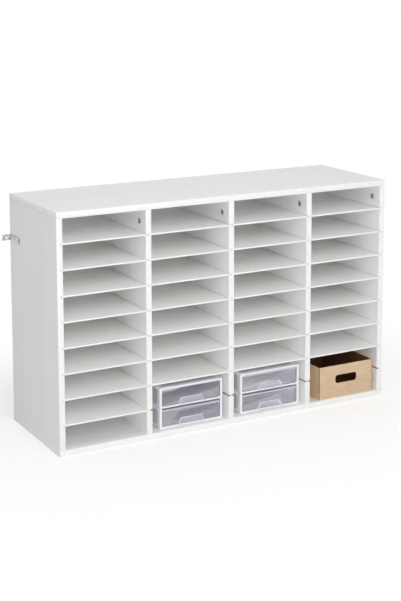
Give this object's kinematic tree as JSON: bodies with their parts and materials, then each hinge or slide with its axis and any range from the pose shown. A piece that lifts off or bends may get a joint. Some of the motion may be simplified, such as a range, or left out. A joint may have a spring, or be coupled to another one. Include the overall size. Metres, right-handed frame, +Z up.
{
  "type": "envelope sorter with drawers",
  "caption": "Wide sorter cabinet with columns of loose slide-out shelves, holding clear two-drawer organisers and an open kraft bin with a hand hole.",
  "frame": {"origin": "middle of the cabinet's footprint, on the floor", "axes": "+X to the right along the front, +Y from the front to the back, +Z up"},
  "size_m": [1.044, 0.32, 0.628],
  "materials": {
    "melamine_board": "white melamine-faced particle board with a faint lengthwise grain",
    "shelf_hardboard": "white painted hardboard, smooth",
    "back_hardboard": "hardboard, white inside and bare brown outside",
    "cam_zinc": "die-cast, dull",
    "fastener_steel": "zinc plated",
    "dowel_beech": "bare beech",
    "bracket_steel": "zinc plated",
    "frame_plastic": "white, moulded, glossy",
    "clear_plastic": "clear, moulded",
    "kraft_board": "natural kraft, matt"
  },
  "bodies": {
    "cabinet": {"back_nails": "fastener_steel", "back_panel": "back_hardboard", "base_screws": "fastener_steel", "bottom_panel": "melamine_board", "bracket_screws": "fastener_steel", "cam_bolts": "fastener_steel", "cam_locks": "cam_zinc", "divider_1": "melamine_board", "divider_2": "melamine_board", "divider_3": "melamine_board", "dowels": "dowel_beech", "left_side_panel": "melamine_board", "right_side_panel": "melamine_board", "top_panel": "melamine_board", "wall_bracket_left": "bracket_steel", "wall_bracket_right": "bracket_steel"},
    "organiser_2": {"organiser_2_lower_frame": "frame_plastic", "organiser_2_lower_panes": "clear_plastic", "organiser_2_upper_frame": "frame_plastic", "organiser_2_upper_panes": "clear_plastic"},
    "organiser_2_upper_drawer": {"organiser_2_upper_drawer": "clear_plastic"},
    "organiser_2_lower_drawer": {"organiser_2_lower_drawer": "clear_plastic"},
    "organiser_3": {"organiser_3_lower_frame": "frame_plastic", "organiser_3_lower_panes": "clear_plastic", "organiser_3_upper_frame": "frame_plastic", "organiser_3_upper_panes": "clear_plastic"},
    "organiser_3_upper_drawer": {"organiser_3_upper_drawer": "clear_plastic"},
    "organiser_3_lower_drawer": {"organiser_3_lower_drawer": "clear_plastic"},
    "kraft_bin": {"kraft_bin": "kraft_board"},
    "shelf_1_1": {"shelf_1_1": "shelf_hardboard"},
    "shelf_1_2": {"shelf_1_2": "shelf_hardboard"},
    "shelf_1_3": {"shelf_1_3": "shelf_hardboard"},
    "shelf_1_4": {"shelf_1_4": "shelf_hardboard"},
    "shelf_1_5": {"shelf_1_5": "shelf_hardboard"},
    "shelf_1_6": {"shelf_1_6": "shelf_hardboard"},
    "shelf_1_7": {"shelf_1_7": "shelf_hardboard"},
    "shelf_1_8": {"shelf_1_8": "shelf_hardboard"},
    "shelf_2_1": {"shelf_2_1": "shelf_hardboard"},
    "shelf_2_2": {"shelf_2_2": "shelf_hardboard"},
    "shelf_2_3": {"shelf_2_3": "shelf_hardboard"},
    "shelf_2_4": {"shelf_2_4": "shelf_hardboard"},
    "shelf_2_5": {"shelf_2_5": "shelf_hardboard"},
    "shelf_2_6": {"shelf_2_6": "shelf_hardboard"},
    "shelf_2_7": {"shelf_2_7": "shelf_hardboard"},
    "shelf_3_1": {"shelf_3_1": "shelf_hardboard"},
    "shelf_3_2": {"shelf_3_2": "shelf_hardboard"},
    "shelf_3_3": {"shelf_3_3": "shelf_hardboard"},
    "shelf_3_4": {"shelf_3_4": "shelf_hardboard"},
    "shelf_3_5": {"shelf_3_5": "shelf_hardboard"},
    "shelf_3_6": {"shelf_3_6": "shelf_hardboard"},
    "shelf_3_7": {"shelf_3_7": "shelf_hardboard"},
    "shelf_4_1": {"shelf_4_1": "shelf_hardboard"},
    "shelf_4_2": {"shelf_4_2": "shelf_hardboard"},
    "shelf_4_3": {"shelf_4_3": "shelf_hardboard"},
    "shelf_4_4": {"shelf_4_4": "shelf_hardboard"},
    "shelf_4_5": {"shelf_4_5": "shelf_hardboard"},
    "shelf_4_6": {"shelf_4_6": "shelf_hardboard"},
    "shelf_4_7": {"shelf_4_7": "shelf_hardboard"}
  },
  "joints": [
    {"name": "organiser_2_upper_drawer_slide", "type": "slide", "parent": "organiser_2", "child": "organiser_2_upper_drawer", "axis": [0, -1, 0], "range_m": [0, 0.17]},
    {"name": "organiser_2_lower_drawer_slide", "type": "slide", "parent": "organiser_2", "child": "organiser_2_lower_drawer", "axis": [0, -1, 0], "range_m": [0, 0.17]},
    {"name": "organiser_2_slide", "type": "slide", "parent": "cabinet", "child": "organiser_2", "axis": [0, -1, 0], "range_m": [0, 0.2]},
    {"name": "organiser_3_upper_drawer_slide", "type": "slide", "parent": "organiser_3", "child": "organiser_3_upper_drawer", "axis": [0, -1, 0], "range_m": [0, 0.17]},
    {"name": "organiser_3_lower_drawer_slide", "type": "slide", "parent": "organiser_3", "child": "organiser_3_lower_drawer", "axis": [0, -1, 0], "range_m": [0, 0.17]},
    {"name": "organiser_3_slide", "type": "slide", "parent": "cabinet", "child": "organiser_3", "axis": [0, -1, 0], "range_m": [0, 0.2]},
    {"name": "kraft_bin_slide", "type": "slide", "parent": "cabinet", "child": "kraft_bin", "axis": [0, -1, 0], "range_m": [0, 0.23]},
    {"name": "shelf_1_1_slide", "type": "slide", "parent": "cabinet", "child": "shelf_1_1", "axis": [0, -1, 0], "range_m": [0, 0.25]},
    {"name": "shelf_1_2_slide", "type": "slide", "parent": "cabinet", "child": "shelf_1_2", "axis": [0, -1, 0], "range_m": [0, 0.25]},
    {"name": "shelf_1_3_slide", "type": "slide", "parent": "cabinet", "child": "shelf_1_3", "axis": [0, -1, 0], "range_m": [0, 0.25]},
    {"name": "shelf_1_4_slide", "type": "slide", "parent": "cabinet", "child": "shelf_1_4", "axis": [0, -1, 0], "range_m": [0, 0.25]},
    {"name": "shelf_1_5_slide", "type": "slide", "parent": "cabinet", "child": "shelf_1_5", "axis": [0, -1, 0], "range_m": [0, 0.25]},
    {"name": "shelf_1_6_slide", "type": "slide", "parent": "cabinet", "child": "shelf_1_6", "axis": [0, -1, 0], "range_m": [0, 0.25]},
    {"name": "shelf_1_7_slide", "type": "slide", "parent": "cabinet", "child": "shelf_1_7", "axis": [0, -1, 0], "range_m": [0, 0.25]},
    {"name": "shelf_1_8_slide", "type": "slide", "parent": "cabinet", "child": "shelf_1_8", "axis": [0, -1, 0], "range_m": [0, 0.25]},
    {"name": "shelf_2_1_slide", "type": "slide", "parent": "cabinet", "child": "shelf_2_1", "axis": [0, -1, 0], "range_m": [0, 0.25]},
    {"name": "shelf_2_2_slide", "type": "slide", "parent": "cabinet", "child": "shelf_2_2", "axis": [0, -1, 0], "range_m": [0, 0.25]},
    {"name": "shelf_2_3_slide", "type": "slide", "parent": "cabinet", "child": "shelf_2_3", "axis": [0, -1, 0], "range_m": [0, 0.25]},
    {"name": "shelf_2_4_slide", "type": "slide", "parent": "cabinet", "child": "shelf_2_4", "axis": [0, -1, 0], "range_m": [0, 0.25]},
    {"name": "shelf_2_5_slide", "type": "slide", "parent": "cabinet", "child": "shelf_2_5", "axis": [0, -1, 0], "range_m": [0, 0.25]},
    {"name": "shelf_2_6_slide", "type": "slide", "parent": "cabinet", "child": "shelf_2_6", "axis": [0, -1, 0], "range_m": [0, 0.25]},
    {"name": "shelf_2_7_slide", "type": "slide", "parent": "cabinet", "child": "shelf_2_7", "axis": [0, -1, 0], "range_m": [0, 0.25]},
    {"name": "shelf_3_1_slide", "type": "slide", "parent": "cabinet", "child": "shelf_3_1", "axis": [0, -1, 0], "range_m": [0, 0.25]},
    {"name": "shelf_3_2_slide", "type": "slide", "parent": "cabinet", "child": "shelf_3_2", "axis": [0, -1, 0], "range_m": [0, 0.25]},
    {"name": "shelf_3_3_slide", "type": "slide", "parent": "cabinet", "child": "shelf_3_3", "axis": [0, -1, 0], "range_m": [0, 0.25]},
    {"name": "shelf_3_4_slide", "type": "slide", "parent": "cabinet", "child": "shelf_3_4", "axis": [0, -1, 0], "range_m": [0, 0.25]},
    {"name": "shelf_3_5_slide", "type": "slide", "parent": "cabinet", "child": "shelf_3_5", "axis": [0, -1, 0], "range_m": [0, 0.25]},
    {"name": "shelf_3_6_slide", "type": "slide", "parent": "cabinet", "child": "shelf_3_6", "axis": [0, -1, 0], "range_m": [0, 0.25]},
    {"name": "shelf_3_7_slide", "type": "slide", "parent": "cabinet", "child": "shelf_3_7", "axis": [0, -1, 0], "range_m": [0, 0.25]},
    {"name": "shelf_4_1_slide", "type": "slide", "parent": "cabinet", "child": "shelf_4_1", "axis": [0, -1, 0], "range_m": [0, 0.25]},
    {"name": "shelf_4_2_slide", "type": "slide", "parent": "cabinet", "child": "shelf_4_2", "axis": [0, -1, 0], "range_m": [0, 0.25]},
    {"name": "shelf_4_3_slide", "type": "slide", "parent": "cabinet", "child": "shelf_4_3", "axis": [0, -1, 0], "range_m": [0, 0.25]},
    {"name": "shelf_4_4_slide", "type": "slide", "parent": "cabinet", "child": "shelf_4_4", "axis": [0, -1, 0], "range_m": [0, 0.25]},
    {"name": "shelf_4_5_slide", "type": "slide", "parent": "cabinet", "child": "shelf_4_5", "axis": [0, -1, 0], "range_m": [0, 0.25]},
    {"name": "shelf_4_6_slide", "type": "slide", "parent": "cabinet", "child": "shelf_4_6", "axis": [0, -1, 0], "range_m": [0, 0.25]},
    {"name": "shelf_4_7_slide", "type": "slide", "parent": "cabinet", "child": "shelf_4_7", "axis": [0, -1, 0], "range_m": [0, 0.25]}
  ]
}
